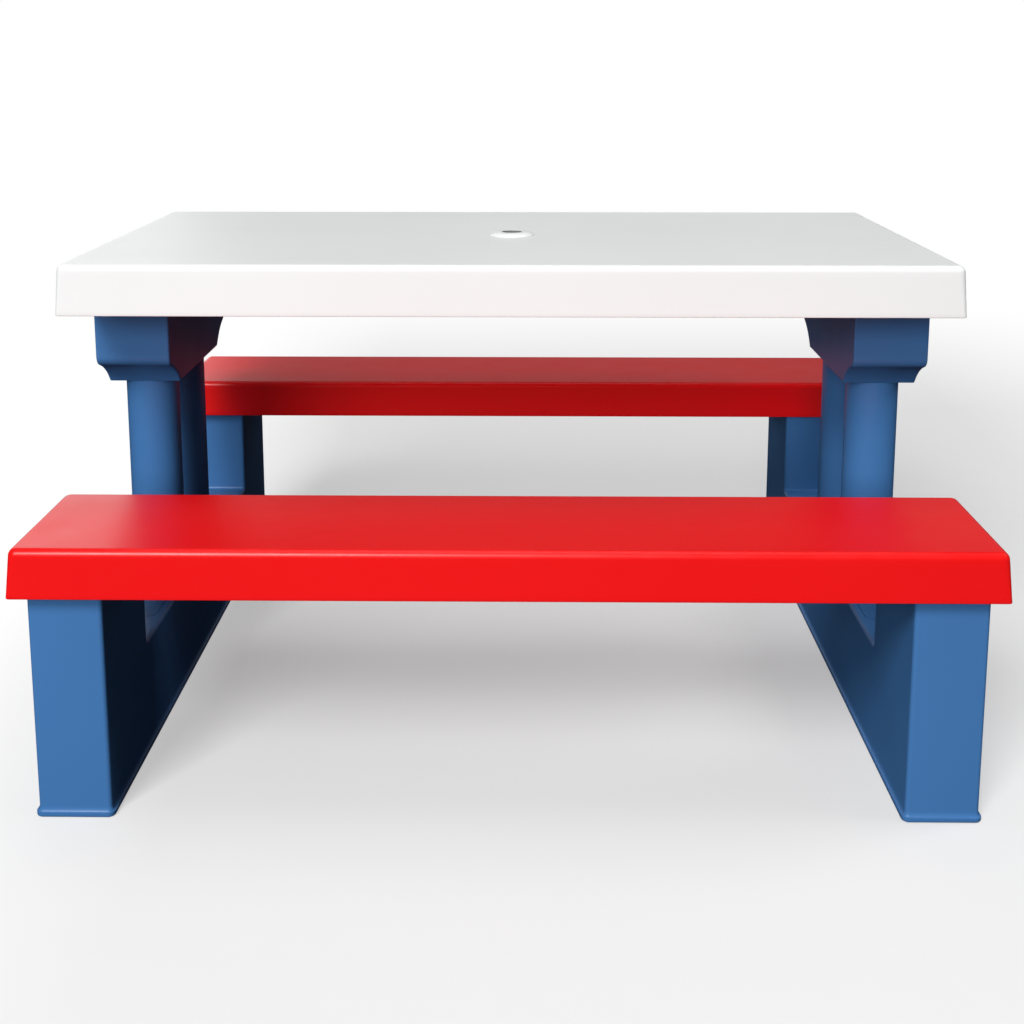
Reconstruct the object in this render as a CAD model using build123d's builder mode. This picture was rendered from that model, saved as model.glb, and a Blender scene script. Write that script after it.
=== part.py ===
from build123d import *
from math import atan, degrees, radians, tan
import os

# A plastic picnic set for children. A white table top and two red benches are fixed to two blue side
# frames. Each frame is a sled with a post at either end, a foot plate let into the sled's beam, two
# round columns and a coved head under the table.
# Millimetres. Z is up, the floor is Z = 0 below the middle of the table, X runs along the benches.

# The set as a whole
set_length = 790.0          # table top and benches, end to end at the foot of their skirts
table_depth = 397.0         # table top, front to back at the foot of its skirt
table_height = 435.0        # floor to the upper face of the table
bench_depth = 145.0         # bench, front to back at the foot of its skirt
seat_height = 232.0         # floor to the upper face of a bench
bench_setoff = 1.5          # gap between the skirts of table and bench, seen from above

# Moulded trays, upside down: the table top and the benches
table_skirt = 45.0          # height of the table's skirt
table_draft = 2.5           # lean of that skirt, in degrees
bench_skirt = 40.0          # height of a bench's skirt
bench_draft = 3.6           # lean of that skirt, in degrees
edge_radius = 6.0           # rounded upper edge
corner_ease = 1.0           # how much rounder an upper corner is than its edge
skirt_corner = 3.5          # corner radius at the foot of a skirt
plate = 4.0                 # thickness of the upper plates
wall = 3.5                  # thickness of the other moulded walls
rib = 2.5                   # thickness of the ribs
table_rib_depth = 24.0      # ribs under the table's plate
bench_rib_depth = 18.0      # ribs under a bench's plate
cross_ribs = 5              # ribs across each tray, between the frames
table_long_ribs = 3         # ribs along the table
bench_long_ribs = 1         # ribs along a bench
locator_depth = 9.0         # how far a locating rib reaches below the other ribs
locator_play = 0.6          # clearance between a locating rib and the leg that it holds

# Side frames
frame_width = 60.0          # sled and posts, along X
frame_inset = 12.0          # from the end of the set to the outer face of a sled
beam_height = 97.5          # floor to the upper face of the beam
post_setback = 13.0         # from the foot of a bench's skirt to the face of its post
frame_edge = 3.5            # rounded edges of the sled
foot_lip = 2.5              # how far the lip round the foot stands out
foot_lip_height = 4.0       # upright part of that lip
foot_lip_blend = 5.0        # sloping part above it
foot_lip_round = 1.5        # rounded lower edge
beam_rib_lift = 20.0        # floor to the underside of the ribs inside the beam
beam_ribs = 5               # ribs inside the beam

# Foot plates and columns
foot_width = 44.0           # foot plate, along X
foot_overhang = 82.0        # how far it runs past the columns at either end
foot_plate = 3.5            # its thickness
foot_corner = 10.0          # its corner radius
foot_seam = 0.5             # gap between it and the pocket in the beam
column_diameter = 50.0
column_spacing = 104.0      # centre to centre of the two columns of a frame
column_wall = 3.0
column_cap = 4.0            # end wall at the top of a column
column_chamfer = 0.8
spigot_length = 30.0        # spigots of the foot plate, inside the columns
spigot_play = 0.2           # clearance between a spigot and its column

# Heads
head_width = 69.0           # along X
head_margin = 1.0           # flat underside, past the columns
cove_reach = 38.5           # how far the coved ends stand out past that underside
cove_rise = 24.5            # height of the cove
cove_sagitta = 4.0          # depth of its hollow curve
cove_corner = 10.0          # round corner between the cove and the upright end
head_edge = 2.0             # rounded edges of the head
head_bottom = 303.0         # floor to the underside of the head
tower_spacing = 30.0        # screw towers inside the head
tower_diameter = 15.0
tower_bore = 10.0           # way in for the screw and its driver
tower_seat = 4.0            # floor of the tower, under the screw's head

# Parasol collar
parasol_bore = 20.0         # takes a pole of 19
collar_shank = 29.0         # tube through the table's plate
collar_flange = 44.5        # rim on the table
collar_height = 3.5         # how far the rim stands above the table
collar_seat = 0.8           # depth of the round pocket that the rim lies in
collar_play = 0.3           # clearance round the shank and the rim
collar_bead = 1.0           # snap bead at the lower end, beyond the shank
collar_bead_height = 3.0
collar_edge = 0.5           # upright edge of the rim above the table
collar_crest = 30.0         # diameter of the rim's highest ring
collar_sagitta = 0.7        # swell of the rim between its edge and its crest
collar_lead = 0.5           # chamfer that leads the pole in

# Screws, all of one size
screw_diameter = 4.0
screw_head_diameter = 8.0
screw_head_height = 2.6
screw_bite = 12.0           # length held in the boss
screw_play = 0.05           # clearance round the shank in its boss
screw_way = 0.3             # clearance round the shank in the wall that it passes
boss_diameter = 11.0
boss_floor = 3.0            # left above a blind hole
post_screw_spacing = 60.0   # two screws in each post

# What follows from the sizes above
frame_x = set_length / 2 - frame_inset - frame_width / 2
bench_y = table_depth / 2 + bench_setoff + bench_depth / 2
post_depth = bench_depth - 2 * post_setback
frame_length = 2 * bench_y + post_depth
table_plate_z = table_height - plate
bench_plate_z = seat_height - plate
head_top = table_plate_z - table_rib_depth
post_top = bench_plate_z - bench_rib_depth
pocket_z = beam_height - foot_plate
foot_length = column_spacing + column_diameter + 2 * foot_overhang
spigot_diameter = column_diameter - 2 * column_wall - 2 * spigot_play
column_length = head_bottom - beam_height
head_foot = column_spacing + column_diameter + 2 * head_margin
head_length = head_foot + 2 * cove_reach
collar_hole = collar_shank + 2 * collar_play
pilot_hole = screw_diameter + 2 * screw_play
screw_hole = screw_diameter + 2 * screw_way

os.makedirs("parts", exist_ok=True)


def level(x, y, z):
    """A level plane whose origin is the given point."""
    return Plane((x, y, z))


def finish(piece, label):
    """Names a piece and writes its file."""
    piece.label = label
    export_step(piece, f"parts/{label}.step")


def round_bars(x, y, z, spacing, diameter, length, mode=Mode.ADD):
    """Adds or cuts two upright round bars, set front and back of the given point."""
    with BuildSketch(level(x, y, z)) as ends:
        with GridLocations(0, spacing, 1, 2):
            Circle(diameter / 2)
    extrude(ends.sketch, amount=length, mode=mode)


def tray(y, depth, top_z, skirt, draft):
    """Adds an upside-down tray with a leaning skirt and a rounded upper edge."""
    draw_in = skirt * tan(radians(draft))
    upper_corner = edge_radius + corner_ease
    with BuildSketch(level(0, y, top_z - skirt)) as foot:
        RectangleRounded(set_length, depth, skirt_corner)
    with BuildSketch(level(0, y, top_z)) as crown:
        RectangleRounded(set_length - 2 * draw_in, depth - 2 * draw_in, upper_corner)
    loft([foot.sketch, crown.sketch], ruled=True)
    fillet(faces().sort_by(Axis.Z)[-1].edges(), edge_radius)
    with BuildSketch(level(0, y, top_z - skirt)) as hollow:
        RectangleRounded(set_length - 2 * wall, depth - 2 * wall, upper_corner)
    extrude(hollow.sketch, amount=skirt - plate, taper=draft, mode=Mode.SUBTRACT)


def tray_ribs(y, depth, plate_z, rib_depth, draw_in, long_ribs):
    """Adds a grid of ribs under a tray's plate, with one rib over each side frame."""
    reach_x = set_length - 2 * draw_in - wall
    reach_y = depth - 2 * draw_in - wall
    cross_pitch = (2 * frame_x - frame_width) / (cross_ribs + 1)
    with BuildSketch(level(0, y, plate_z - rib_depth)) as grid:
        with GridLocations(cross_pitch, 0, cross_ribs, 1):
            Rectangle(rib, reach_y)
        with GridLocations(2 * frame_x, 0, 2, 1):
            Rectangle(rib, reach_y)
        with GridLocations(0, depth / (long_ribs + 1), 1, long_ribs):
            Rectangle(reach_x, rib)
    extrude(grid.sketch, amount=rib_depth)


def leg_locator(side, y, plate_z, rib_depth, width, depth):
    """Adds the ribs that hold the top of a leg at its front, back and inner faces."""
    drop = rib_depth + locator_depth
    inner_x = width / 2 + locator_play + rib / 2
    end_y = depth + 2 * locator_play + rib
    with BuildSketch(level(side * frame_x, y, plate_z - drop)) as fence:
        with GridLocations(0, end_y, 1, 2):
            Rectangle(width, rib)
        with Locations((-side * inner_x, 0)):
            Rectangle(rib, end_y + rib)
    extrude(fence.sketch, amount=drop)


def screw_bosses(x, y, plate_z, rib_depth, spacing):
    """Adds two blind screw bosses under a tray's plate."""
    round_bars(x, y, plate_z - rib_depth, spacing, boss_diameter, rib_depth)
    round_bars(x, y, plate_z - rib_depth, spacing, pilot_hole, screw_bite, Mode.SUBTRACT)


def upright_screws(x, y, seat_z, grip, spacing):
    """Adds two screws whose heads lie under a wall at the given height, points up."""
    round_bars(x, y, seat_z - screw_head_height, spacing, screw_head_diameter, screw_head_height)
    round_bars(x, y, seat_z, spacing, screw_diameter, grip + screw_bite)


def head_side_view(x, top):
    """The outline of a head, seen along X: flat underside, coved ends, upright above."""
    cove_top = head_bottom + cove_rise
    with BuildSketch(Plane.YZ.offset(x), mode=Mode.PRIVATE) as view:
        with BuildLine():
            Line((-head_foot / 2, head_bottom), (head_foot / 2, head_bottom))
            SagittaArc((head_foot / 2, head_bottom), (head_length / 2, cove_top), cove_sagitta)
            Polyline(
                (head_length / 2, cove_top),
                (head_length / 2, top),
                (-head_length / 2, top),
                (-head_length / 2, cove_top),
            )
            SagittaArc((-head_length / 2, cove_top), (-head_foot / 2, head_bottom), cove_sagitta)
        make_face()
        fillet(vertices().group_by(Axis.Y)[1], cove_corner)
    return view.sketch


# Table top
table_draw_in = table_skirt * tan(radians(table_draft))
with BuildPart() as table_top:
    tray(0, table_depth, table_height, table_skirt, table_draft)
    tray_ribs(0, table_depth, table_plate_z, table_rib_depth, table_draw_in, table_long_ribs)
    for side in (-1, 1):
        leg_locator(side, 0, table_plate_z, table_rib_depth, head_width, head_length)
        screw_bosses(side * frame_x, 0, table_plate_z, table_rib_depth, tower_spacing)
    with BuildSketch(level(0, 0, head_top)):
        Circle(collar_hole / 2 + wall)
    extrude(amount=table_rib_depth)
    with BuildSketch(level(0, 0, head_top)):
        Circle(collar_hole / 2)
    extrude(amount=table_height - head_top, mode=Mode.SUBTRACT)
    with BuildSketch(level(0, 0, table_height - collar_seat)):
        Circle(collar_flange / 2 + collar_play)
    extrude(amount=collar_seat, mode=Mode.SUBTRACT)
finish(table_top.part, "table_top")

# Parasol collar, a flanged tube that snaps in under the boss
with BuildPart() as parasol_collar:
    collar_foot = head_top - collar_bead_height
    with BuildSketch(Plane.XZ):
        with BuildLine():
            Polyline(
                (parasol_bore / 2, collar_foot),
                (collar_shank / 2 + collar_bead, collar_foot),
                (collar_shank / 2 + collar_bead, head_top),
                (collar_shank / 2, head_top),
                (collar_shank / 2, table_height - collar_seat),
                (collar_flange / 2, table_height - collar_seat),
                (collar_flange / 2, table_height + collar_edge),
            )
            SagittaArc(
                (collar_crest / 2, table_height + collar_height),
                (collar_flange / 2, table_height + collar_edge),
                collar_sagitta,
            )
            Polyline(
                (collar_crest / 2, table_height + collar_height),
                (parasol_bore / 2, table_height + collar_height),
                (parasol_bore / 2, collar_foot),
            )
        make_face()
        chamfer(vertices().group_by(Axis.Y)[-1].sort_by(Axis.X)[0], collar_lead)
    revolve(axis=Axis.Z)
finish(parasol_collar.part, "parasol_collar")

# Bench seats
bench_draw_in = bench_skirt * tan(radians(bench_draft))
for name, bench_side in (("front", -1), ("rear", 1)):
    y = bench_side * bench_y
    with BuildPart() as bench_seat:
        tray(y, bench_depth, seat_height, bench_skirt, bench_draft)
        tray_ribs(y, bench_depth, bench_plate_z, bench_rib_depth, bench_draw_in, bench_long_ribs)
        for side in (-1, 1):
            leg_locator(side, y, bench_plate_z, bench_rib_depth, frame_width, post_depth)
            screw_bosses(side * frame_x, y, bench_plate_z, bench_rib_depth, post_screw_spacing)
    finish(bench_seat.part, f"{name}_bench_seat")

    with BuildPart() as bench_screws:
        for side in (-1, 1):
            upright_screws(side * frame_x, y, post_top - wall, wall, post_screw_spacing)
    finish(bench_screws.part, f"{name}_bench_screws")

# Side frames
lip_lean = degrees(atan(foot_lip / foot_lip_blend))
for name, side in (("left", -1), ("right", 1)):
    x = side * frame_x

    # The sled: two posts and the beam between them, hollow and open to the floor
    with BuildPart() as base_frame:
        with BuildSketch(Plane.YZ.offset(x - frame_width / 2)):
            with Locations((0, beam_height / 2)):
                Rectangle(frame_length, beam_height)
            with GridLocations(2 * bench_y, 0, 2, 1):
                with Locations((0, post_top / 2)):
                    Rectangle(post_depth, post_top)
        extrude(amount=frame_width)
        fillet(edges().filter_by(lambda edge: edge.center().Z > 0), frame_edge)
        with BuildSketch(level(x, 0, 0)):
            RectangleRounded(frame_width + 2 * foot_lip, frame_length + 2 * foot_lip, frame_edge + foot_lip)
        extrude(amount=foot_lip_height)
        fillet(faces().sort_by(Axis.Z)[0].edges(), foot_lip_round)
        with BuildSketch(level(x, 0, foot_lip_height)):
            RectangleRounded(frame_width + 2 * foot_lip, frame_length + 2 * foot_lip, frame_edge + foot_lip)
        extrude(amount=foot_lip_blend, taper=lip_lean)
        with BuildSketch(level(x, 0, 0)):
            with GridLocations(0, 2 * bench_y, 1, 2):
                Rectangle(frame_width - 2 * wall, post_depth - 2 * wall)
        extrude(amount=post_top - wall, mode=Mode.SUBTRACT)
        with BuildSketch(level(x, 0, 0)):
            Rectangle(frame_width - 2 * wall, frame_length - 2 * wall)
        extrude(amount=beam_height - wall, mode=Mode.SUBTRACT)

        # Pocket for the foot plate, with its own floor, and ribs across the beam
        with BuildSketch(level(x, 0, pocket_z - wall)):
            Rectangle(frame_width - wall, foot_length + 2 * wall)
        extrude(amount=foot_plate)
        with BuildSketch(level(x, 0, beam_rib_lift)):
            with GridLocations(0, column_spacing, 1, beam_ribs):
                Rectangle(frame_width - wall, rib)
        extrude(amount=pocket_z - wall - beam_rib_lift)
        with BuildSketch(level(x, 0, pocket_z)):
            RectangleRounded(foot_width + 2 * foot_seam, foot_length + 2 * foot_seam, foot_corner + foot_seam)
        extrude(amount=foot_plate, mode=Mode.SUBTRACT)

        # Ways for the screws through the pocket's floor and the tops of the posts
        round_bars(x, 0, pocket_z - wall, column_spacing, screw_hole, wall, Mode.SUBTRACT)
        for bench_side in (-1, 1):
            y = bench_side * bench_y
            round_bars(x, y, post_top - wall, post_screw_spacing, screw_hole, wall, Mode.SUBTRACT)
    finish(base_frame.part, f"{name}_base_frame")

    # Foot plate with a hollow spigot for each column
    with BuildPart() as column_foot:
        with BuildSketch(level(x, 0, pocket_z)):
            RectangleRounded(foot_width, foot_length, foot_corner)
        extrude(amount=foot_plate)
        round_bars(x, 0, beam_height, column_spacing, spigot_diameter, spigot_length)
        spigot_hollow = foot_plate + spigot_length - wall
        round_bars(x, 0, pocket_z, column_spacing, spigot_diameter - 2 * wall, spigot_hollow, Mode.SUBTRACT)
        round_bars(x, 0, pocket_z, column_spacing, boss_diameter, spigot_hollow)
        round_bars(x, 0, pocket_z, column_spacing, pilot_hole, screw_bite, Mode.SUBTRACT)
    finish(column_foot.part, f"{name}_column_foot")

    with BuildPart() as foot_screws:
        upright_screws(x, 0, pocket_z - wall, wall, column_spacing)
    finish(foot_screws.part, f"{name}_foot_screws")

    # Columns: tubes closed at the top, with a screw boss under the end wall
    for place, column_side in (("front", -1), ("rear", 1)):
        y = column_side * column_spacing / 2
        with BuildPart() as column:
            with BuildSketch(level(x, y, beam_height)):
                Circle(column_diameter / 2)
            extrude(amount=column_length)
            chamfer(edges().filter_by(GeomType.CIRCLE), column_chamfer)
            with BuildSketch(level(x, y, beam_height)):
                Circle(column_diameter / 2 - column_wall)
            extrude(amount=column_length - column_cap, mode=Mode.SUBTRACT)
            with BuildSketch(level(x, y, head_bottom - screw_bite - boss_floor)):
                Circle(boss_diameter / 2)
            extrude(amount=screw_bite + boss_floor - column_cap)
            with BuildSketch(level(x, y, head_bottom - screw_bite)):
                Circle(pilot_hole / 2)
            extrude(amount=screw_bite, mode=Mode.SUBTRACT)
        finish(column.part, f"{name}_{place}_column")

    # Head: a box with coved ends, open at the top, and a rib across its middle
    with BuildPart() as head:
        extrude(head_side_view(x - head_width / 2, head_top), amount=head_width)
        outer_faces = faces().sort_by(Axis.X)
        rims = outer_faces[0].edges() + outer_faces[-1].edges()
        fillet(rims.filter_by(lambda edge: edge.center().Z < head_top), head_edge)
        inner_view = offset(head_side_view(x - head_width / 2 + wall, head_top + wall), -wall, mode=Mode.PRIVATE)
        extrude(inner_view, amount=head_width - 2 * wall, mode=Mode.SUBTRACT)
        with BuildSketch(level(x, 0, head_bottom)):
            Rectangle(head_width - wall, rib)
        extrude(amount=head_top - head_bottom)

        # Towers for the screws that hold the table, and holes for those into the columns
        round_bars(x, 0, head_bottom, tower_spacing, tower_diameter, head_top - head_bottom)
        tower_depth = head_top - head_bottom - tower_seat
        round_bars(x, 0, head_bottom, tower_spacing, tower_bore, tower_depth, Mode.SUBTRACT)
        round_bars(x, 0, head_top - tower_seat, tower_spacing, screw_hole, tower_seat, Mode.SUBTRACT)
        round_bars(x, 0, head_bottom, column_spacing, screw_hole, wall, Mode.SUBTRACT)
    finish(head.part, f"{name}_head")

    with BuildPart() as head_screws:
        round_bars(x, 0, head_bottom + wall, column_spacing, screw_head_diameter, screw_head_height)
        round_bars(x, 0, head_bottom - screw_bite, column_spacing, screw_diameter, screw_bite + wall)
    finish(head_screws.part, f"{name}_head_screws")

    with BuildPart() as table_screws:
        upright_screws(x, 0, head_top - tower_seat, tower_seat, tower_spacing)
    finish(table_screws.part, f"{name}_table_screws")
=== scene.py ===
# %% [markdown]
# # A children's picnic table in moulded plastic
# The set has a white table top and two red benches, carried by two blue side frames. All of it but the
# screws is injection moulded, so this lesson is about one kind of shape: thin shells with rounded edges,
# drawn as surfaces over a grid of numbers. The exact model arrives from CAD and gives all the main sizes.
# We replace the pieces that the eye rests on and give the others a better material.

# %% Load the CAD model
import math

import bmesh
import bpy
import numpy as np
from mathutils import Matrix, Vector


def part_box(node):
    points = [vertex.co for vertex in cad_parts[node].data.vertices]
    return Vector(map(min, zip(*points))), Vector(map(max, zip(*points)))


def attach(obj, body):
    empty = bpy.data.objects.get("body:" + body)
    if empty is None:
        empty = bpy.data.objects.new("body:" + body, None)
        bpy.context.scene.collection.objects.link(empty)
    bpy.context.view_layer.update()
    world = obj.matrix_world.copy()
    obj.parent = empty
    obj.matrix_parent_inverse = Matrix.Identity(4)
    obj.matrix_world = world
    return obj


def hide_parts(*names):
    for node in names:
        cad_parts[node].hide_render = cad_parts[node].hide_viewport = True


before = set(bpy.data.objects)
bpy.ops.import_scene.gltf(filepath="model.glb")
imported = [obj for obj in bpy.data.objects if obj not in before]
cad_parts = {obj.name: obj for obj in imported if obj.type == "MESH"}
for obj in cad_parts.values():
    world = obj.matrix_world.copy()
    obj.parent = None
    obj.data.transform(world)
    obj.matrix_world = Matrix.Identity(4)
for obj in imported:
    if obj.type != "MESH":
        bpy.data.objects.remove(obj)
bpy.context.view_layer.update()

# %% [markdown]
# ## Sizes
# Sizes read from there stay right if the CAD model changes. Wall thicknesses, roundings and screw holes
# can't be read from a box, so those that several pieces share are named here once. A size that only one
# piece has stands beside it.

# %% Read the sizes
def corners(node):
    """The lowest and the highest corner of a node, as two arrays."""
    low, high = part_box(node)
    return np.array(low), np.array(high)


PLATE = 0.004  # thickness of a tray's plate
WALL = 0.0035  # thickness of the skirts and of the hollow frames
RIB = 0.0025  # thickness of a rib
EDGE = 0.006  # rounding of a tray's upper edge
MARGIN = 0.0008  # width of the narrow row of faces beside a rounding
SINK = 0.001  # how far a rib reaches into its plate
PILOT = 0.00205  # radius of the hole that a screw cuts into
BOSS = 0.0055  # radius of the tube round that hole
POST_WIDTH = 0.06  # size along X of a post of a side frame
POST_DEPTH = 0.119  # and along Y
ENDS = (-1, 1)  # the signs of a mirrored pair

table_low, table_high = corners("table_top")
sled_low, sled_high = corners("left_base_frame")
head_low, head_high = corners("left_head")
beam_top = corners("left_front_column")[0][2]
frame_x = (sled_high[0] + sled_low[0]) / 2
print("table", table_high - table_low)
print("side frames at x", round(frame_x, 4), "and", round(-frame_x, 4))

# %% [markdown]
# ## A surface from a grid
# A mesh is a list of points and a list of faces. If the points come as rows and columns, the faces follow
# by counting: every point makes a square with its right neighbour and the two points of the next row.
# A closed direction joins its last line of points to its first, so a tube or a ring needs no seam.
# Numpy counts all the squares at once, which is quicker and shorter than a loop.

# %% Grid of points to faces
def weave(rows, columns, closed_rows, closed_columns):
    """Corner numbers of each square: a point, its right neighbour, the one above that, the one above."""
    row, column = np.meshgrid(
        np.arange(rows if closed_rows else rows - 1),
        np.arange(columns if closed_columns else columns - 1),
        indexing="ij",
    )
    here = row * columns
    above = (row + 1) % rows * columns
    right = (column + 1) % columns
    return np.stack((here + column, here + right, above + right, above + column), axis=-1)


def sheet(points, closed_rows=False, closed_columns=True, cut=None, **marks):
    """A surface over rows and columns of points. A mark holds a number per row; cut is a square left out."""
    rows, columns = points.shape[:2]
    squares = weave(rows, columns, closed_rows, closed_columns)
    if cut:
        keep = np.ones(squares.shape[:2], bool)
        keep[cut] = False
        squares = squares[keep]
    marks = {name: np.repeat(np.asarray(mark, float), columns) for name, mark in marks.items()}
    return points.reshape(-1, 3), squares.reshape(-1, 4), marks


def lid(ring):
    """One flat face across a closed ring of points."""
    return ring, np.arange(len(ring))[None], {}


print("a 3 by 4 tube has", weave(3, 4, False, True).reshape(-1, 4).shape[0], "squares")

# %% [markdown]
# ## From surfaces to a piece
# A piece is made of one or more closed shells. Points that meet are welded, and on a closed shell Blender
# can then work out which side is the outside. Three extra numbers travel with each point. `worn` is high on
# the edges that hands rub, `used` is high where people sit or eat, and `deep` is high inside a hole, where
# the material paints shade as a near-black grey. The materials read all three.

# %% Put a piece together
MARKS = ("worn", "used", "deep")
WELD = 2e-6  # points closer than this become one
SLIVER = 1e-6  # edges shorter than this are taken out


def join(name, sheets):
    """One mesh from several sheets: the corner numbers of each go up by the count of points before it."""
    starts = np.cumsum([0] + [len(part[0]) for part in sheets])
    faces = [row for part, start in zip(sheets, starts) for row in (part[1] + start).tolist()]
    mesh = bpy.data.meshes.new(name)
    mesh.from_pydata(np.concatenate([part[0] for part in sheets]).tolist(), [], faces)
    for label in MARKS:
        values = np.concatenate([part[2].get(label, np.zeros(len(part[0]))) for part in sheets])
        mesh.attributes.new(label, "FLOAT", "POINT").data.foreach_set("value", values.astype(np.float32))
    return mesh


def weld(mesh):
    """Merges points that meet and turns the faces outwards. Gives the count of open edges and the volume."""
    work = bmesh.new()
    work.from_mesh(mesh)
    bmesh.ops.remove_doubles(work, verts=work.verts, dist=WELD)
    bmesh.ops.dissolve_degenerate(work, edges=work.edges, dist=SLIVER)
    bmesh.ops.recalc_face_normals(work, faces=work.faces)
    open_edges = sum(not edge.is_manifold for edge in work.edges)
    volume = work.calc_volume(signed=True)
    work.to_mesh(mesh)
    work.free()
    return open_edges, volume


def make_piece(name, sheets, node, material, sharp=32):
    """An object made of sheets that stands for a CAD node. Bends over sharp degrees stay crisp."""
    mesh = join(name, sheets)
    open_edges, volume = weld(mesh)
    mesh.shade_smooth()
    mesh.set_sharp_from_angle(angle=math.radians(sharp))
    mesh.materials.append(material)
    piece = bpy.data.objects.new(name, mesh)
    bpy.context.collection.objects.link(piece)
    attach(piece, "root")
    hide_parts(node)
    print(name, len(mesh.polygons), "faces, open edges", open_edges, "volume", round(volume * 1e6, 1), "cm3")


print("marks on every point:", *MARKS)

# %% [markdown]
# ## Walking round a rounded rectangle
# Nearly every moulding here is a rounded rectangle in plan. A rounded rectangle is a smaller, sharp one
# plus a radius laid off along the outward normal. So the walk is worked out once as two lists, the core
# and the normal, and any size, corner radius or inset is then one line of arithmetic. Carrying a profile
# round the walk gives a rim, a skirt or a whole tray.

# %% Rounded rectangles
def walk(corner_steps, side_steps):
    """Core and normal along a rounded rectangle: four quarter circles, with side_steps points between."""
    cores, normals = [], []
    for quarter, here in enumerate(((1, 1), (-1, 1), (-1, -1), (1, -1))):
        angle = (quarter + np.linspace(0, 1, corner_steps + 1)) * math.pi / 2
        after = (-here[1], here[0])
        share = np.linspace(0, 1, side_steps + 2)[1:-1, None]
        cores += [np.repeat([here], corner_steps + 1, axis=0), (1 - share) * here + share * np.array(after)]
        normals.append(np.stack([np.cos(angle), np.sin(angle)], axis=-1))
        normals.append(np.repeat(normals[-1][-1:], side_steps, axis=0))
    return np.concatenate(cores).astype(float), np.concatenate(normals)


def carry(route, centre, half, radius, profile):
    """A profile of (inset, height) carried round: core * (half - radius) + (radius - inset) * normal."""
    core, normal = route
    inset, height = np.array(profile).T[:, :, None, None]
    radius = np.broadcast_to(radius, len(profile))[:, None, None]
    flat = core * (np.array(half) - radius) + (radius - inset) * normal
    return np.concatenate([flat + centre, np.broadcast_to(height, flat[..., :1].shape)], axis=-1)


def shrink(ring, centre, shares):
    """Copies of a level ring, drawn in towards a centre: a share of 1 keeps it and 0 makes it a point."""
    shares = np.array(shares)[:, None, None]
    middle = np.array([centre[0], centre[1], 0.0])
    level = np.array([1.0, 1.0, 0.0])
    return ring[None] * (1 - level) + middle + (ring[None] - middle) * level * shares


def bar(centre, half, low, high, radius=0.0004, lean=0.0):
    """An upright bar with slightly rounded corners, thinner at its lower end by lean: a rib of a moulding."""
    sides = carry(walk(2, 0), centre, half, radius, [(lean, low), (0, high)])
    rings = [shrink(sides[0], centre, [0]), sides, shrink(sides[1], centre, [0])]
    return sheet(np.concatenate(rings))


print("a walk with 8 steps a corner has", len(walk(8, 6)[0]), "points")

# %% [markdown]
# ## Circles and turned shapes
# Round pieces come off a lathe in the mind: a profile turned about an upright axis. A hole in a rectangular
# plate needs a circle whose points stand opposite those of the rectangle, so that the plate between the two
# is a plain grid. The four corners of the rectangle bunch their points, and a small part of the normal added
# to the core keeps these apart on the circle.

# %% Circles, lathe and arcs
FAN = 0.02  # part of the normal that is added to the core


def circle(route, centre, radius, height):
    """A level circle whose points lie where those of the rounded rectangle do, seen from the centre."""
    core, normal = route
    toward = core + FAN * normal
    angle = np.arctan2(toward[:, 1], toward[:, 0])
    x, y = centre[0] + radius * np.cos(angle), centre[1] + radius * np.sin(angle)
    return np.stack([x, y, np.full(len(angle), height)], axis=-1)


def turned(centre, profile, steps=96, closed=True, **marks):
    """A profile of (radius, height) turned about an upright axis: x = r cos a, y = r sin a."""
    radius, height = np.array(profile).T[:, :, None]
    angle = np.linspace(0, 2 * math.pi, steps, endpoint=False)[None]
    rings = (centre[0] + radius * np.cos(angle), centre[1] + radius * np.sin(angle), height + 0 * angle)
    return sheet(np.stack(rings, axis=-1), closed_rows=closed, **marks)


def arc(centre, radius, start, end, steps):
    """Points on an arc, angles in degrees."""
    angle = np.radians(np.linspace(start, end, steps + 1))
    return np.stack([centre[0] + radius * np.cos(angle), centre[1] + radius * np.sin(angle)], axis=-1)


print("a quarter circle in 6 steps has", len(arc((0, 0), 1, 0, 90, 6)), "points")

# %% [markdown]
# ## Node helpers
# A material is a small net of nodes. These helpers add one node each and hand back its output, so that a
# finish can be written almost like a formula.

# %% Helpers for materials
def add(tree, kind, sockets, **settings):
    """Adds a node; a socket given another node's output is linked, and one given a number is set."""
    made = tree.nodes.new(kind)
    for name, value in settings.items():
        setattr(made, name, value)
    for name, value in sockets.items():
        if isinstance(value, bpy.types.NodeSocket):
            tree.links.new(value, made.inputs[name])
        else:
            made.inputs[name].default_value = value
    return made


def noise(tree, place, scale, detail):
    """A cloudy pattern between 0 and 1; scale is about the count of clouds in a metre."""
    return add(tree, "ShaderNodeTexNoise", {"Vector": place, "Scale": scale, "Detail": detail}).outputs["Fac"]


def marked(tree, label):
    """Reads one of the numbers that travel with each point."""
    return add(tree, "ShaderNodeAttribute", {}, attribute_name=label).outputs["Fac"]


def ranged(tree, value, low, high, to_low, to_high):
    """Rescales a value from one range to another and clamps it."""
    sockets = {"Value": value, "From Min": low, "From Max": high, "To Min": to_low, "To Max": to_high}
    return add(tree, "ShaderNodeMapRange", sockets).outputs[0]


def product(tree, one, other):
    """Multiplies two values."""
    return add(tree, "ShaderNodeMath", {0: one, 1: other}, operation="MULTIPLY").outputs[0]


def blend(tree, amount, one, other):
    """Mixes two colours."""
    return add(tree, "ShaderNodeMix", {0: amount, 6: one, 7: other}, data_type="RGBA").outputs[2]


print("node helpers ready")

# %% [markdown]
# ## Moulded plastic
# Polypropylene toys have a satin skin. Three things keep it from looking like flat paint: the colour
# drifts a little because pigment never mixes evenly, the gloss drifts with handling, and a very fine grain
# from the mould breaks up the highlights. Faint wiping streaks run along the places that are used, and the
# edges are a touch paler. All of it follows Object coordinates, so the pattern sits still on the part.

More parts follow.
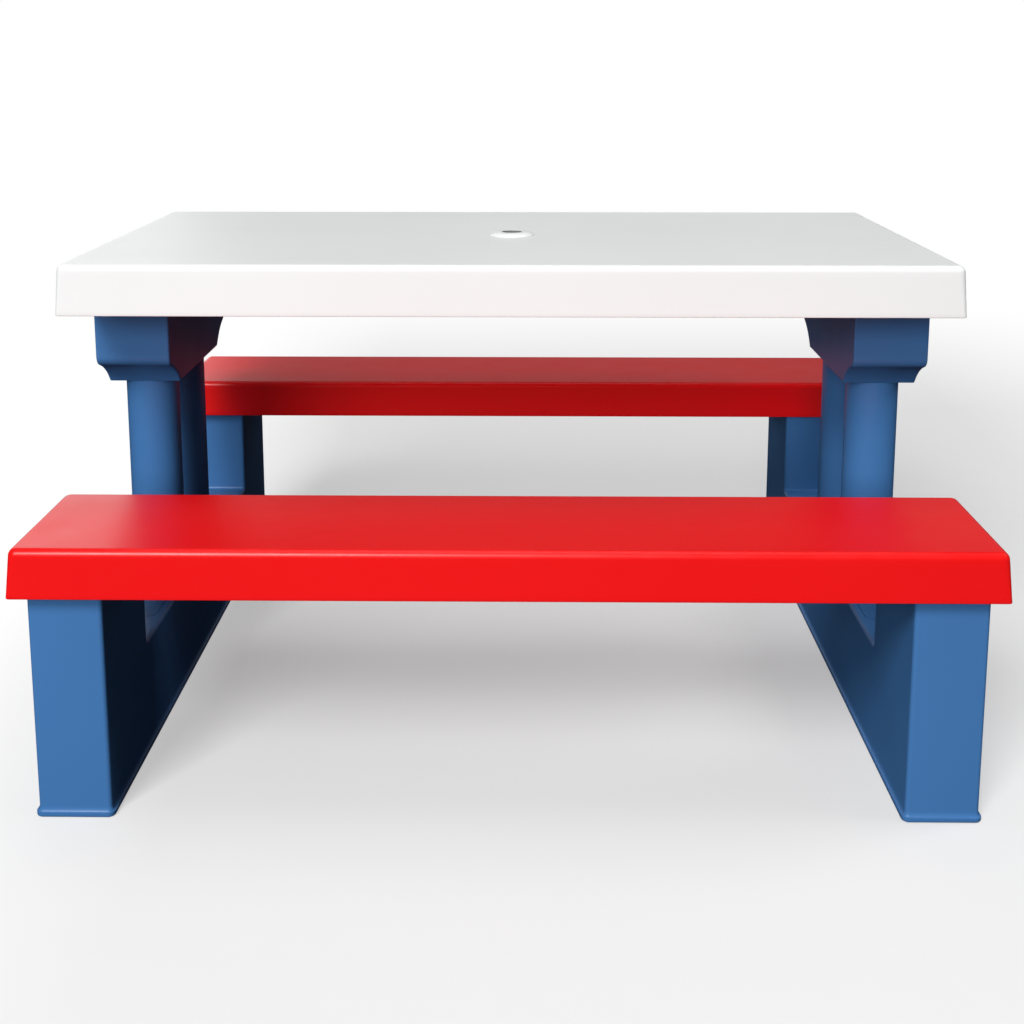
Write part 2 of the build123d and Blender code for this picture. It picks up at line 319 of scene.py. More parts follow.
# %% The plastic material
RUBBED = 0.03  # how much of the rubbed colour, and of extra roughness, a mark adds
# painted shade for the inside of holes, a near-black grey that the plastic itself doesn't have
PAINTED_HOLE_SHADE = (0.03, 0.03, 0.03, 1)
REFRACTION = 1.49  # how strongly polypropylene bends light


def moulded(name, colour, drift, rubbed, gloss, grain):
    """Satin plastic: drifting colour and gloss, mould grain, streaks where used, edges a little paler."""
    material = bpy.data.materials.new(name)
    material.use_nodes = True
    tree = material.node_tree
    skin = tree.nodes["Principled BSDF"]
    place = add(tree, "ShaderNodeTexCoord", {}).outputs["Object"]
    slow = noise(tree, place, 5.0, 0.0)
    mid = noise(tree, place, 26.0, 1.0)
    fine = noise(tree, place, 1600.0, 0.0)
    drawn = add(tree, "ShaderNodeMapping", {"Vector": place, "Scale": (3.0, 16.0, 16.0)}).outputs[0]
    streak = noise(tree, drawn, 1.0, 1.0)
    worn, used, deep = (marked(tree, label) for label in MARKS)
    rub = product(tree, worn, ranged(tree, mid, 0.35, 0.7, 0.0, 1.0))
    wiped = product(tree, used, ranged(tree, streak, 0.35, 0.7, 0.0, 1.0))
    marks = add(tree, "ShaderNodeMath", {0: rub, 1: wiped}, operation="MAXIMUM").outputs[0]

    base = blend(tree, ranged(tree, slow, 0.3, 0.7, 0.0, 1.0), colour, drift)
    base = blend(tree, ranged(tree, marks, 0.0, 1.0, 0.0, RUBBED), base, rubbed)
    # painted shade: where deep is high, the colour goes to the near-black grey of a hole's shadow
    base = blend(tree, deep, base, PAINTED_HOLE_SHADE)
    tree.links.new(base, skin.inputs["Base Color"])
    rough = ranged(tree, mid, 0.3, 0.7, gloss - 0.02, gloss + 0.02)
    rough = add(tree, "ShaderNodeMath", {0: marks, 1: RUBBED, 2: rough}, operation="MULTIPLY_ADD").outputs[0]
    tree.links.new(rough, skin.inputs["Roughness"])

    swell = add(tree, "ShaderNodeBump", {"Height": slow, "Strength": 0.05, "Distance": 0.002})
    pores = {"Height": fine, "Strength": grain, "Distance": 0.0001, "Normal": swell.outputs[0]}
    tree.links.new(add(tree, "ShaderNodeBump", pores).outputs[0], skin.inputs["Normal"])
    skin.inputs["IOR"].default_value = REFRACTION
    return material


white = moulded(
    "white_plastic", colour=(0.795, 0.808, 0.805, 1), drift=(0.781, 0.794, 0.792, 1),
    rubbed=(0.70, 0.70, 0.69, 1), gloss=0.42, grain=0.05,
)
red = moulded(
    "red_plastic", colour=(0.81, 0.005, 0.006, 1), drift=(0.79, 0.004, 0.005, 1),
    rubbed=(0.85, 0.10, 0.09, 1), gloss=0.32, grain=0.04,
)
blue = moulded(
    "blue_plastic", colour=(0.050, 0.165, 0.395, 1), drift=(0.048, 0.158, 0.380, 1),
    rubbed=(0.12, 0.25, 0.48, 1), gloss=0.40, grain=0.04,
)
print("plastics", white.name, red.name, blue.name)

# %% [markdown]
# ## Zinc-plated screws
# The screws hide inside the heads, posts and bosses. Zinc plating is a bright metal with a faint cloudy
# tarnish, so the colour and the gloss both follow one noise.

# %% The steel material
steel = bpy.data.materials.new("screw_steel")
steel.use_nodes = True
tree = steel.node_tree
zinc = tree.nodes["Principled BSDF"]
cloud = noise(tree, add(tree, "ShaderNodeTexCoord", {}).outputs["Object"], 260.0, 5.0)
tarnish = ranged(tree, cloud, 0.35, 0.7, 0.0, 1.0)
shade = blend(tree, tarnish, (0.66, 0.66, 0.64, 1), (0.46, 0.45, 0.42, 1))
tree.links.new(shade, zinc.inputs["Base Color"])
tree.links.new(ranged(tree, cloud, 0.3, 0.7, 0.24, 0.42), zinc.inputs["Roughness"])
dents = add(tree, "ShaderNodeBump", {"Height": cloud, "Strength": 0.25, "Distance": 0.0002})
tree.links.new(dents.outputs[0], zinc.inputs["Normal"])
zinc.inputs["Metallic"].default_value = 1.0
print("steel", steel.name)

# %% [markdown]
# ## The upside-down tray
# The table top and the benches are trays lying on their mouths. One profile does the whole shell: along
# the underside of the plate, down the inside of the skirt, round its rim, up the leaning outside and over
# the rounded edge onto the top. The centre of the edge's arc follows from its two tangents, the level
# top and the leaning skirt. A short extra step beside each rounding keeps the flat faces truly flat.
# Seen from above, the corners are tight at the skirt's foot and rounder at the top.

# %% Profile of a tray
FOOT_CORNER = 0.0035
UPPER_CORNER = 0.007
RIM = 0.0008  # rounding of the skirt's foot
BEND = 0.0012  # chamfer where the inside of the skirt meets the plate
STEP = 0.004  # distance of a row of points from the bend or the foot beside it
BELOW_EDGE = 0.010  # depth of the skirt's last row below the top
BESIDE_EDGE = 0.001  # distance of the top's first row from the rounding
EDGE_STEPS = 10


def tray_profile(low, high, lean):
    """(inset, height) from the plate's underside over the skirt's rim to the top, corner radius and wear."""
    under = high - PLATE
    inside = WALL + lean * (under - low)
    edge_inset = lean * (high - EDGE - low) + EDGE * math.hypot(1, lean)
    turn = math.degrees(math.atan(lean))
    inner = [(inside + STEP, under), (inside + BEND, under), (inside, under - BEND)]
    inner += [(WALL + lean * STEP, low + STEP), *arc((WALL - RIM, low + RIM), RIM, 0, -90, 4)]
    outer = [*arc((RIM, low + RIM), RIM, -90, -180, 4), (lean * STEP, low + STEP)]
    outer += [(lean * (high - low - BELOW_EDGE), high - BELOW_EDGE)]
    rounding = [*arc((edge_inset, high - EDGE), EDGE, 180 - turn, 90, EDGE_STEPS)]
    profile = np.array(inner + outer + rounding + [(edge_inset + BESIDE_EDGE, high)])
    worn = np.zeros(len(profile))
    worn[-1 - len(rounding):-1] = np.sin(np.linspace(0, math.pi, len(rounding))) ** 0.7
    share = (profile[:, 1] - low) / (high - low)
    radius = FOOT_CORNER + (UPPER_CORNER + lean * (high - low) - FOOT_CORNER) * share
    radius[:len(inner)] = UPPER_CORNER + WALL
    return profile, radius, worn


TABLE_LEAN = math.tan(math.radians(2.5))
BENCH_LEAN = math.tan(math.radians(3.6))
profile, radius, worn = tray_profile(table_low[2], table_high[2], TABLE_LEAN)
insets = profile[:, 0].round(5)
print("tray profile of", len(profile), "points, insets", insets.min(), "to", insets.max())

# %% [markdown]
# ## The table top
# The plate has a hole for the parasol, so the shell is a ring in both directions: from the top it runs
# through a shallow round pocket, down the hole, round the lower end of the boss and back along the
# underside. The rows between the rectangle and the circle are a plain blend of the two. The top counts as
# used from the middle of its rounded edge to the pocket.

# %% Table shell
ROUTE = walk(corner_steps=10, side_steps=14)
HOLE = 0.0148  # radius of the parasol hole
POCKET = 0.02255  # radius of the pocket round it
POCKET_DEPTH = 0.0008
PLATE_ROWS = 8
USED_EDGE = 6  # rows of the edge, from its middle on, that are used like the top

centre = np.zeros(2)
half = (table_high[:2] - table_low[:2]) / 2
top = table_high[2]
boss_low = head_high[2]
skin = carry(ROUTE, centre, half, radius, profile)
upper = circle(ROUTE, centre, POCKET, top)
under = circle(ROUTE, centre, HOLE + WALL, top - PLATE)
shares = np.linspace(0, 1, PLATE_ROWS + 1)[1:, None, None]
bore = ((POCKET, top - POCKET_DEPTH), (HOLE, top - POCKET_DEPTH), (HOLE, boss_low), (HOLE + WALL, boss_low))
rows = [
    (under + (skin[0] - under) * shares)[:-1],
    skin,
    skin[-1] + (upper - skin[-1]) * shares,
    *(circle(ROUTE, centre, size, height)[None] for size, height in bore),
    under[None],
]
skin_start = len(rows[0])
skin_end = skin_start + len(skin)
worn_rows = np.zeros(sum(map(len, rows)))
worn_rows[skin_start:skin_end] = worn
used_rows = np.zeros(len(worn_rows))
used_rows[skin_end - USED_EDGE:skin_end + PLATE_ROWS] = 1
shell = sheet(np.concatenate(rows), closed_rows=True, worn=worn_rows, used=used_rows)
print("table shell of", len(worn_rows), "rows")

# %% [markdown]
# ## Ribs, fences and bosses
# A plate four millimetres thick would sag, so ribs run under it both ways. Taller fences take the heads
# of the side frames, and blind bosses take the screws. Each is a closed bar or tube of its own that sinks
# into the plate, which is how the mould shapes them too.

# %% What hangs under a tray
RIB_LEAN = 0.0002  # how much a rib loses on each side at its lower end
FENCE_DROP = 0.009  # how far a fence stands out below the ribs
FENCE_PLAY = 0.0006  # gap between a fence and the leg
SCREW_DEPTH = 0.012  # of the hole in a boss
CROSS_RIBS = (2 * abs(frame_x) - POST_WIDTH) / 6 * np.arange(-2, 3)


def ribs(y, half_x, half_y, plate_z, depth, along, gap=0.0):
    """Ribs across and along a tray; gap leaves the middle free for a hole."""
    heights = (plate_z - depth, plate_z + SINK)
    made = []
    for x in (*CROSS_RIBS, frame_x, -frame_x):
        for part in (ENDS if gap and abs(x) < gap else (0,)):
            size = (RIB / 2, (half_y - gap) / 2 if part else half_y)
            made.append(bar((x, y + part * (half_y + gap) / 2), size, *heights, lean=RIB_LEAN))
    for row in along:
        for part in (ENDS if gap and abs(row - y) < gap else (0,)):
            size = ((half_x - gap) / 2 if part else half_x, RIB / 2)
            made.append(bar((part * (half_x + gap) / 2, row), size, *heights, lean=RIB_LEAN))
    return made


def fence(side, y, plate_z, depth, half_width, half_depth):
    """Three taller ribs that hold the top of a leg at its front, back and inner face."""
    x = side * abs(frame_x)
    play = FENCE_PLAY + RIB / 2
    heights = (plate_z - depth - FENCE_DROP, plate_z + SINK)
    made = [bar((x, y + end * (half_depth + play)), (half_width, RIB / 2), *heights) for end in ENDS]
    inner = x - side * (half_width + play)
    return made + [bar((inner, y), (RIB / 2, half_depth + play + RIB / 2), *heights)]


def bosses(side, y, plate_z, depth, spacing):
    """Two tubes for screws, closed at the plate: a profile that starts and ends on the tube's axis."""
    low = plate_z - depth
    stop, root = low + SCREW_DEPTH, plate_z + SINK
    tube = [(0, stop), (PILOT, stop), (PILOT, low), (BOSS, low), (BOSS, root), (0, root)]
    x = side * abs(frame_x)
    return [turned((x, y + end * spacing / 2), tube, steps=24, closed=False) for end in ENDS]


print("cross ribs at", CROSS_RIBS.round(4))

# %% [markdown]
# ## The table's underside
# Three ribs run along the table and seven across it. The ones in the middle stop short of the parasol hole.
# Fences and bosses stand where the two heads meet the plate.

# %% Table plate
HOLE_GAP = 0.0175  # distance from the middle at which the ribs stop
HEAD_SCREWS = 0.03  # from one screw of a head to the other

plate_z = top - PLATE
depth = plate_z - boss_low
reach = half - TABLE_LEAN * (top - table_low[2]) - WALL / 2
head_half = (head_high - head_low) / 2
parts = [shell, *ribs(0.0, *reach, plate_z, depth, (-half[1] / 2, 0.0, half[1] / 2), HOLE_GAP)]
for side in ENDS:
    parts += fence(side, 0.0, plate_z, depth, head_half[0], head_half[1])
    parts += bosses(side, 0.0, plate_z, depth, HEAD_SCREWS)
make_piece("table_plate", parts, "table_top", white)

# %% [markdown]
# ## The parasol collar
# A flanged tube lies in the pocket and snaps in below the boss. It is a closed profile turned about the
# upright axis. The rim swells gently from its edge to the crest: a straight line plus a small parabola at
# right angles to it. The swell catches the light as a soft crescent. The hole below it gets painted shade:
# its colour darkens down the bore.

# %% Collar
BORE = 0.010
SHANK = 0.0145
BEAD = 0.001  # how far the snap bead stands out from the shank
CREST = 0.015  # radius of the crest
SWELL = 0.0028  # four times the height of the parabola
SWELL_STEPS = 12
SOFT = 0.0005  # chamfer of the bore, and half the height of the flange's upright edge
BEAD_CHAMFER = 0.0006
FLANGE_CHAMFER = 0.0002
MOUTH = 0.0008  # rounding where the bore begins
FLAT = 0.002  # from the bore to the inner end of the rim's flat
THROAT = (0.0018, 0.006)  # depths of two rows down the bore
DARK = 0.0007  # points closer than this to the bore count as deep

collar_low, collar_high = corners("parasol_collar")
flange = (collar_high[0] - collar_low[0]) / 2
foot_z, rim_z, seat_z = collar_low[2], collar_high[2], top - POCKET_DEPTH
share = np.linspace(0, 1, SWELL_STEPS)[:, None]
edge, crest = np.array([flange, top + SOFT]), np.array([CREST, rim_z])
across = np.array([edge[1] - crest[1], crest[0] - edge[0]])
dome = edge + (crest - edge) * share - SWELL * share * (1 - share) * across / np.linalg.norm(across)
stem = [
    (BORE, foot_z + SOFT), (BORE + SOFT, foot_z),
    (SHANK + BEAD_CHAMFER, foot_z), (SHANK + BEAD, foot_z + BEAD_CHAMFER), (SHANK + BEAD, boss_low),
    (SHANK, boss_low), (SHANK, seat_z), (flange - FLANGE_CHAMFER, seat_z), (flange, top - SOFT),
]
mouth = [(BORE + FLAT, rim_z), *arc((BORE + MOUTH, rim_z - MOUTH), MOUTH, 90, 180, 6)]
throat = [(BORE, rim_z - down) for down in THROAT]
profile = np.array([*stem, *dome, *mouth, *throat])
worn = np.zeros(len(profile))
worn[len(stem):len(stem) + SWELL_STEPS] = np.sin(np.linspace(0, math.pi, SWELL_STEPS))
# painted shade: below the mouth the bore's colour darkens, up to 0.8 of the way to the near-black grey
below_rim = np.clip((rim_z - profile[:, 1]) / MOUTH, 0, 0.8)
deep = np.where(profile[:, 0] < BORE + DARK, below_rim, 0)
ring = turned((0, 0), profile, worn=worn, deep=deep)
make_piece("collar_ring", [ring], "parasol_collar", white, sharp=40)

# %% [markdown]
# ## The benches
# The same tray serves again, lower and leaning more. There is no hole this time, so the rows simply draw
# in to a point in the middle of the plate, above and below. Points that fall together are welded.

# %% Bench shells
SEAT_ROWS = 7
SEAT_RIBS = 0.018  # height of the ribs under a bench
SEAT_SCREWS = 0.06  # from one screw of a post to the other

for name in ("front", "rear"):
    low, high = corners(f"{name}_bench_seat")
    centre = (low[:2] + high[:2]) / 2
    half = (high[:2] - low[:2]) / 2
    profile, radius, worn = tray_profile(low[2], high[2], BENCH_LEAN)
    skin = carry(ROUTE, centre, half, radius, profile)
    inward = np.linspace(1, 0, SEAT_ROWS + 1)[1:]
    rows = [shrink(skin[0], centre, inward[::-1]), skin, shrink(skin[-1], centre, inward)]
    worn_rows = np.concatenate([np.zeros(SEAT_ROWS), worn, np.zeros(SEAT_ROWS)])
    used_rows = np.zeros(len(worn_rows))
    used_rows[-SEAT_ROWS - USED_EDGE:] = 1
    plate_z = high[2] - PLATE
    reach = half - BENCH_LEAN * (high[2] - low[2]) - WALL / 2
    parts = [sheet(np.concatenate(rows), worn=worn_rows, used=used_rows)]
    parts += ribs(centre[1], *reach, plate_z, SEAT_RIBS, (centre[1],))
    for side in ENDS:
        parts += fence(side, centre[1], plate_z, SEAT_RIBS, POST_WIDTH / 2, POST_DEPTH / 2)
        parts += bosses(side, centre[1], plate_z, SEAT_RIBS, SEAT_SCREWS)
    make_piece(f"{name}_seat", parts, f"{name}_bench_seat", red)

# %% [markdown]
# ## A path with rounded corners
# The sled of a side frame looks like a wide U from the side. Its outline is a path of straight runs and
# right-angled corners. Moving the path inward by some inset moves every corner along both its normals; a
# corner that points outward gets a smaller radius and one that points inward a larger one. That rule
# is all a rounded edge needs: each step round the edge is the same path with another inset.

# %% Offset path
CORNER_STEPS = 8


def rounded_path(points, radius, inset):
    """An open path of right-angled corners, moved to its right by inset, with round corners."""
    points = np.array(points, float)
    along = np.diff(points, axis=0)
    along /= np.linalg.norm(along, axis=1)[:, None]
    right = np.stack([along[:, 1], -along[:, 0]], axis=-1)
    one, two = right[:-1, None], right[1:, None]
    outward = np.sign(along[:-1, 1] * along[1:, 0] - along[:-1, 0] * along[1:, 1])[:, None, None]
    bend = np.maximum(radius - outward * inset, 0)
    middle = points[1:-1, None] + (inset + outward * bend) * (one + two)
    angle = np.linspace(0, math.pi / 2, CORNER_STEPS + 1)[None, :, None]
    arcs = middle - outward * bend * (np.cos(angle) * one + np.sin(angle) * two)
    first, last = points[:1] + inset * right[0], points[-1:] + inset * right[-1]
    return np.concatenate([first, arcs.reshape(-1, 2), last])


print("path of", len(rounded_path([(0, 0), (0, 1), (1, 1), (1, 0)], 0.1, 0.02)), "points")

# %% [markdown]
# ## The skin of a sled
# Each sled is one hollow moulding: two posts, the beam between them and a lip round the foot. Its skin is
# the U path repeated across the width, with insets at either side for the rounded edges. The inner wall is
# the same skin with smaller sizes.

# %% U-shaped skin
LIP = 0.0025  # how far the lip stands out
LIP_TOP = 0.009  # height at which the cove to the lip begins
ROUND = 0.0035  # rounding of the outer edges
INNER_ROUND = 0.0012
ROUND_STEPS = 6

half_x = POST_WIDTH / 2
half_y = sled_high[1] - LIP
post_y = half_y - POST_DEPTH


def u_skin(x, top_z, beam_z, width, length, inner, radius):
    """Rows of the U path: across = r (1 - cos a) from either side face, inset = r (1 - sin a)."""
    outline = [(-length, LIP_TOP), (-length, top_z), (-inner, top_z), (-inner, beam_z)]
    outline += [(-y, z) for y, z in outline[::-1]]
    turn = np.linspace(0, math.pi / 2, ROUND_STEPS + 1)
    across = np.concatenate([[-width], -width + radius * (1 - np.cos(turn))])
    inset = np.concatenate([[radius + MARGIN], radius * (1 - np.sin(turn))])
    across = np.concatenate([across, -across[::-1]])
    inset = np.concatenate([inset, inset[::-1]])
    paths = np.array([rounded_path(outline, radius, distance) for distance in inset])
    # The path's ends on the side faces meet the corner points of the rim below.
    paths[[0, 0, -1, -1], [0, -1, 0, -1]] = paths[[1, 1, -2, -2], [0, -1, 0, -1]]
    place = np.broadcast_to((x + across)[:, None, None], paths[..., :1].shape)
    return np.concatenate([place, paths], axis=-1)


print("posts", POST_DEPTH, "deep, beam", round(2 * post_y, 4), "long between them")

# %% [markdown]
# ## The foot and the well of a sled
# The lower rim is a profile carried round a rounded rectangle that shares its corner points with the skin,
# so the two weld into one shell: a cove out to the lip, round its lower edge, and up the inner wall. The
# beam's top has a shallow well with round corners for the foot plate. The thin gap round that plate is the
# seam that shows in the photo.

# %% Rim and well
COVE = 0.005  # height of the cove above the lip
COVE_STEPS = 6
LIP_ROUND = 0.0015
WELL_HALF = np.array([0.0225, 0.1595])
WELL_CORNER = 0.0105
CHAMFER = 0.0002
RIM_ROUTE = walk(ROUND_STEPS, 0)


def foot_rim(x):
    """The rim: inset = -lip (1 - cos a) and height = top - cove sin a, then a quarter circle and the wall."""
    turn = np.linspace(0, 1, COVE_STEPS + 1)[:, None] * math.pi / 2
    flare = np.concatenate([-LIP * (1 - np.cos(turn)), LIP_TOP - COVE * np.sin(turn)], axis=1)
    rim = [*flare, *arc((LIP_ROUND - LIP, LIP_ROUND), LIP_ROUND, 180, 270, 5)]
    hollow = [(0, 0.0), (0, LIP_TOP)]
    rings = [
        carry(RIM_ROUTE, (x, 0), (half_x, half_y), ROUND, rim),
        carry(RIM_ROUTE, (x, 0), (half_x - WALL, half_y - WALL), INNER_ROUND, hollow),
    ]
    worn = 0.7 * np.concatenate([np.linspace(0, 1, len(rim)), np.zeros(len(hollow))])
    return sheet(np.concatenate(rings), worn=worn)


def foot_well(x):
    """From the beam's flat top in to the well's edge, down its chamfer and wall, and across its floor."""
    flat_half = np.array([half_x - ROUND, post_y - ROUND])
    rings = [
        carry(RIM_ROUTE, (x, 0), flat_half, 0.0, [(0, beam_top)]),
        carry(RIM_ROUTE, (x, 0), flat_half - MARGIN, 0.0, [(0, beam_top)]),
        carry(RIM_ROUTE, (x, 0), WELL_HALF + CHAMFER, WELL_CORNER + CHAMFER, [(0, beam_top)]),
        carry(RIM_ROUTE, (x, 0), WELL_HALF, WELL_CORNER, [(0, beam_top - CHAMFER), (0, beam_top - WALL)]),
    ]
    rings.append(shrink(rings[-1][-1], (x, 0), [0]))
    return sheet(np.concatenate(rings))


print("well for the foot plate", *(2 * WELL_HALF))

# %% [markdown]
# ## The sleds
# A sled is its two skins, the lids on their side faces, the rim, the well and five ribs inside the beam.
# The one square of the outer skin that is the beam's flat top is left out, and the well takes its place.

# %% Sleds
BEAM_RIBS = 0.104 * np.arange(-2, 3)
BEAM_RIB_LOW = 0.02
BEAM_SQUARE = (ROUND_STEPS + 1, 3 * (CORNER_STEPS + 1))  # past one side's rows and past three corners


def sled(name, node, x):
    """Builds one hollow sled at the given x."""
    post_top, beam_under = sled_high[2], beam_top - 2 * WALL
    outer = u_skin(x, post_top, beam_top, half_x, half_y, post_y, ROUND)
    inner = u_skin(x, post_top - WALL, beam_under, half_x - WALL, half_y - WALL, post_y + WALL, INNER_ROUND)
    worn = np.zeros(len(outer))
    worn[1:ROUND_STEPS + 2] = 0.8 * np.sin(np.linspace(0, math.pi, ROUND_STEPS + 1))
    worn[-ROUND_STEPS - 2:-1] = worn[1:ROUND_STEPS + 2]
    parts = [
        sheet(outer, closed_columns=False, worn=worn, cut=BEAM_SQUARE), lid(outer[0]), lid(outer[-1]),
        sheet(inner, closed_columns=False), lid(inner[0]), lid(inner[-1]),
        foot_rim(x), foot_well(x),
    ]
    size = (half_x - WALL / 2, RIB / 2)
    parts += [bar((x, y), size, BEAM_RIB_LOW, beam_under + SINK, lean=RIB_LEAN) for y in BEAM_RIBS]
    make_piece(name, parts, node, blue)


sled("left_sled", "left_base_frame", frame_x)
sled("right_sled", "right_base_frame", -frame_x)

# %% [markdown]
# ## The columns
# The four columns are tubes that stand on the foot plates and are closed at the top. A turned profile
# with many steps keeps their outline smooth where the CAD mesh shows facets.

# %% Columns
COLUMN = 0.025  # outer radius
COLUMN_BORE = 0.022
CAP = 0.004  # thickness of the closed top
CAP_SCREW = 0.015  # depth of the screw hole in it
# Steps of (radius, height) that soften an end.
SOFT_EDGE = np.array([(-0.0008, 0.0), (-0.0002, 0.0003), (0.0, 0.0008), (0.0, 0.002)])

for side in ("left", "right"):
    for place in ("front", "rear"):
        node = f"{side}_{place}_column"
        low, high = corners(node)
        bottom, crown = low[2], high[2]
        profile = [
            (COLUMN_BORE, bottom), *((COLUMN, bottom) + SOFT_EDGE),
            *((COLUMN, crown) + SOFT_EDGE[::-1] * (1, -1)), (PILOT, crown), (PILOT, crown - CAP_SCREW),
            (BOSS, crown - CAP_SCREW), (BOSS, crown - CAP), (COLUMN_BORE, crown - CAP),
        ]
        tube = turned((low[:2] + high[:2]) / 2, profile)
        make_piece(f"{side}_{place}_tube", [tube], node, blue, sharp=50)

# %% [markdown]
# ## Pieces that stay as they came
# The heads, the foot plates and the screws have the right shape already. A CAD node is never moved or
# reshaped here; it only gets one of our materials.

# %% Materials for the CAD pieces
kept = 0
for name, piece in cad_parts.items():
    if name.endswith(("_head", "_column_foot", "_screws")):
        piece.data.materials.clear()
        piece.data.materials.append(steel if name.endswith("_screws") else blue)
        kept += 1
print("CAD pieces kept", kept)

# %% [markdown]
# ## Floor
# The photo has a white background in which the floor melts away, with a soft shadow below the set. The
# floor is a flat disc drawn as circles, a hair below the feet, pale and matt.

# %% Floor disc
FLOOR_Z = -0.0002
FLOOR_SIDES = 96

spread = np.linspace(0, 1, 24)[:, None]
angle = np.linspace(0, 2 * math.pi, FLOOR_SIDES, endpoint=False)[None]
radius = 0.02 + 9.0 * spread ** 1.6  # the circles lie closer together near the middle
rings = (radius * np.cos(angle), radius * np.sin(angle), FLOOR_Z + 0 * radius * angle)
floor_points, floor_faces, *_ = sheet(np.stack(rings, axis=-1))
floor_mesh = bpy.data.meshes.new("floor")
floor_mesh.from_pydata(floor_points.tolist(), [], [*floor_faces.tolist(), list(range(FLOOR_SIDES))])
floor = bpy.data.objects.new("floor", floor_mesh)
bpy.context.collection.objects.link(floor)
print("floor of", len(floor_mesh.polygons), "faces")

# %% [markdown]
# ## Paper white
# For the camera the floor also emits a little light, more in front of the set than below it: painted light
# that sharpens the front edge of the bench's shadow. Farther out it turns to plain white, so no horizon
# shows. In the photo the faces that look right are nearly black, so the floor below the set hands almost
# no light back, and the floor in front of it only a little.

# %% Floor material
def plateau(tree, value, start, full, fade, end):
    """Rises from 0 at start to 1 at full, and falls from 1 at fade to 0 at end."""
    return product(tree, ranged(tree, value, start, full, 0.0, 1.0), ranged(tree, value, fade, end, 1.0, 0.0))


paper = bpy.data.materials.new("paper_floor")
paper.use_nodes = True
tree = paper.node_tree
tree.nodes.remove(tree.nodes["Principled BSDF"])
place = add(tree, "ShaderNodeTexCoord", {}).outputs["Object"]
seen = add(tree, "ShaderNodeLightPath", {}).outputs["Is Camera Ray"]
spot = add(tree, "ShaderNodeSeparateXYZ", {0: place}).outputs
around = product(
    tree,
    plateau(tree, spot[0], -0.56, -0.28, 0.75, 1.3),
    plateau(tree, spot[1], -1.6, -0.7, 0.95, 1.9),
)
far = product(tree, seen, ranged(tree, around, 0.0, 1.0, 1.0, 0.0))
pale = blend(tree, noise(tree, place, 30.0, 5.0), (0.425, 0.425, 0.425, 1), (0.435, 0.435, 0.435, 1))
bounce = ranged(tree, spot[1], -0.5, -0.3, 0.10, 0.02)
matt = add(tree, "ShaderNodeBsdfDiffuse", {"Color": blend(tree, seen, bounce, pale)})
# painted light: the camera sees 0.43 of extra white on the floor in front of the set and 0.35 below it
painted_front_light = product(tree, seen, ranged(tree, spot[1], -0.35, -0.05, 0.43, 0.35))
lift = add(tree, "ShaderNodeEmission", {"Color": (1, 1, 1, 1), "Strength": painted_front_light})
near = add(tree, "ShaderNodeAddShader", {0: matt.outputs[0], 1: lift.outputs[0]})
clean = add(tree, "ShaderNodeEmission", {"Color": (1, 1, 1, 1), "Strength": 1.0})
mixed = add(tree, "ShaderNodeMixShader", {0: far, 1: near.outputs[0], 2: clean.outputs[0]})
tree.links.new(mixed.outputs[0], tree.nodes["Material Output"].inputs["Surface"])
floor_mesh.materials.append(paper)
print("floor material", paper.name)

# %% [markdown]
# ## Light
# The photo's light comes from the front left and a little above: fronts are brighter than tops, and faces
# that look right stay dark. Two soft lamps stand there like one tall window, wider below, so far away that
# the light hardly fades along the benches. A dim one hangs above, and two more fill the right and the back.
# The fills and the low front lamp don't show in the gloss, because the photo's upright faces have no sheen.
# A dim backdrop and a brighter card at its left are there to be mirrored in the benches.

# %% Lamps
def lamp(name, place, target, size, power):
    """A soft lamp at a place, turned to a target; size is its width and height."""
    data = bpy.data.lights.new(name, "AREA")
    data.shape = "RECTANGLE"
    data.size, data.size_y = size
    data.energy = power
    made = bpy.data.objects.new(name, data)
    bpy.context.collection.objects.link(made)
    made.location = place
    made.visible_camera = False
    x, y, z = np.array(target) - np.array(place)
    made.rotation_euler = (math.atan2(math.hypot(x, y), -z), 0, math.atan2(-x, y))


AIM = (0, 0, 0.2)
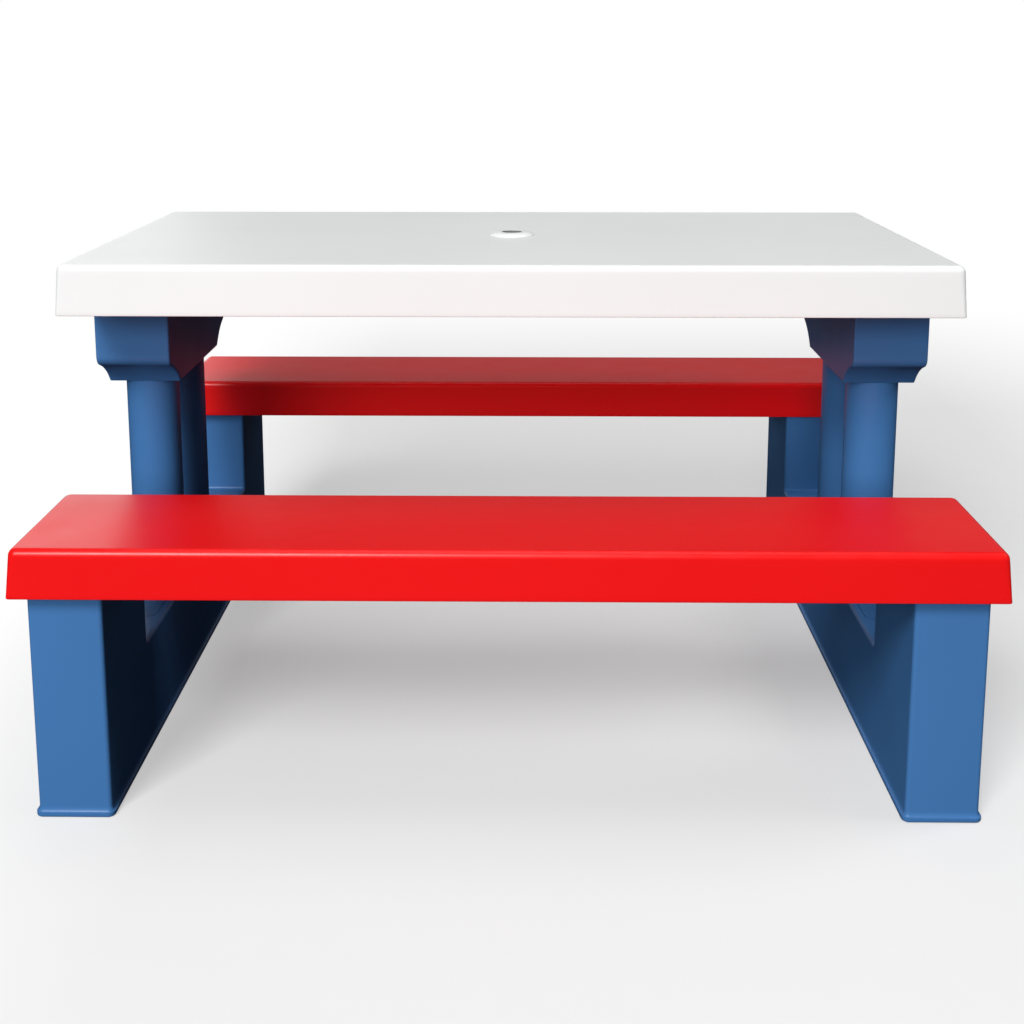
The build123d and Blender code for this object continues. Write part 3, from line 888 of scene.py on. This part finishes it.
# Each lamp: degrees round to the left, degrees up, distance, width and height, power.
LAMPS = {
    "low_front": (16, 17, 6.4, (4.0, 2.0), 228),
    "high_front": (22, 40, 6.4, (2.0, 2.0), 273),
    "overhead": (0, 89, 3.5, (2.0, 2.0), 18),
    "right_fill": (-90, 40, 3.4, (1.6, 1.6), 40),
    "rear_fill": (180, 25, 3.4, (1.6, 1.6), 16),
}
for name, (turn, rise, away, size, power) in LAMPS.items():
    turn, rise = math.radians(turn), math.radians(rise)
    level = away * math.cos(rise)
    height = AIM[2] + away * math.sin(rise)
    lamp(name, (-level * math.sin(turn), -level * math.cos(turn), height), AIM, size, power)
for name in ("low_front", "right_fill", "rear_fill"):
    bpy.data.objects[name].visible_glossy = False
lamp("card", (-1.5, 2.2, 1.0), (-0.2, 0.0, 0.25), (1.3, 1.3), 7.5)
lamp("backdrop", (0.4, 2.8, 1.0), (0.4, 0.0, 0.5), (4.0, 1.5), 3.2)
print("lamps", [data.name for data in bpy.data.lights])

# %% [markdown]
# ## Sky
# The sky is dim, a little less so in the gloss, and the camera sees it as plain white.

# %% World
world = bpy.data.worlds.new("studio")
bpy.context.scene.world = world
world.use_nodes = True
tree = world.node_tree
tree.nodes.clear()
path = add(tree, "ShaderNodeLightPath", {}).outputs
strength = ranged(tree, path["Is Glossy Ray"], 0.0, 1.0, 0.03, 0.06)
dim = add(tree, "ShaderNodeBackground", {"Color": (0.94, 0.97, 1.0, 1), "Strength": strength})
bright = add(tree, "ShaderNodeBackground", {"Color": (1, 1, 1, 1), "Strength": 1.0})
sky = add(tree, "ShaderNodeMixShader", {0: path["Is Camera Ray"], 1: dim.outputs[0], 2: bright.outputs[0]})
tree.links.new(sky.outputs[0], add(tree, "ShaderNodeOutputWorld", {}).inputs["Surface"])
bpy.context.scene.view_settings.view_transform = "Standard"
print("world", world.name)

# %% [markdown]
# ## Camera
# The camera stands in front, a little above the table, and looks down gently. The photo keeps upright
# lines upright, which a lens shift does in a camera too: the film is moved instead of the view. About half
# of that shift is used here, because a larger one would push the set out of the picture from other sides.

# %% Camera
camera_data = bpy.data.cameras.new("camera")
camera = bpy.data.objects.new("camera", camera_data)
bpy.context.collection.objects.link(camera)
bpy.context.scene.camera = camera
look_down, turn_left = 9.527, 0.667
camera.location = (0.0158, -1.3521, 0.6195)
camera.rotation_euler = (math.radians(90 - look_down), 0, math.radians(turn_left))
camera_data.lens = 47.81
camera_data.shift_y = -0.23
print("camera at", tuple(round(v, 3) for v in camera.location))
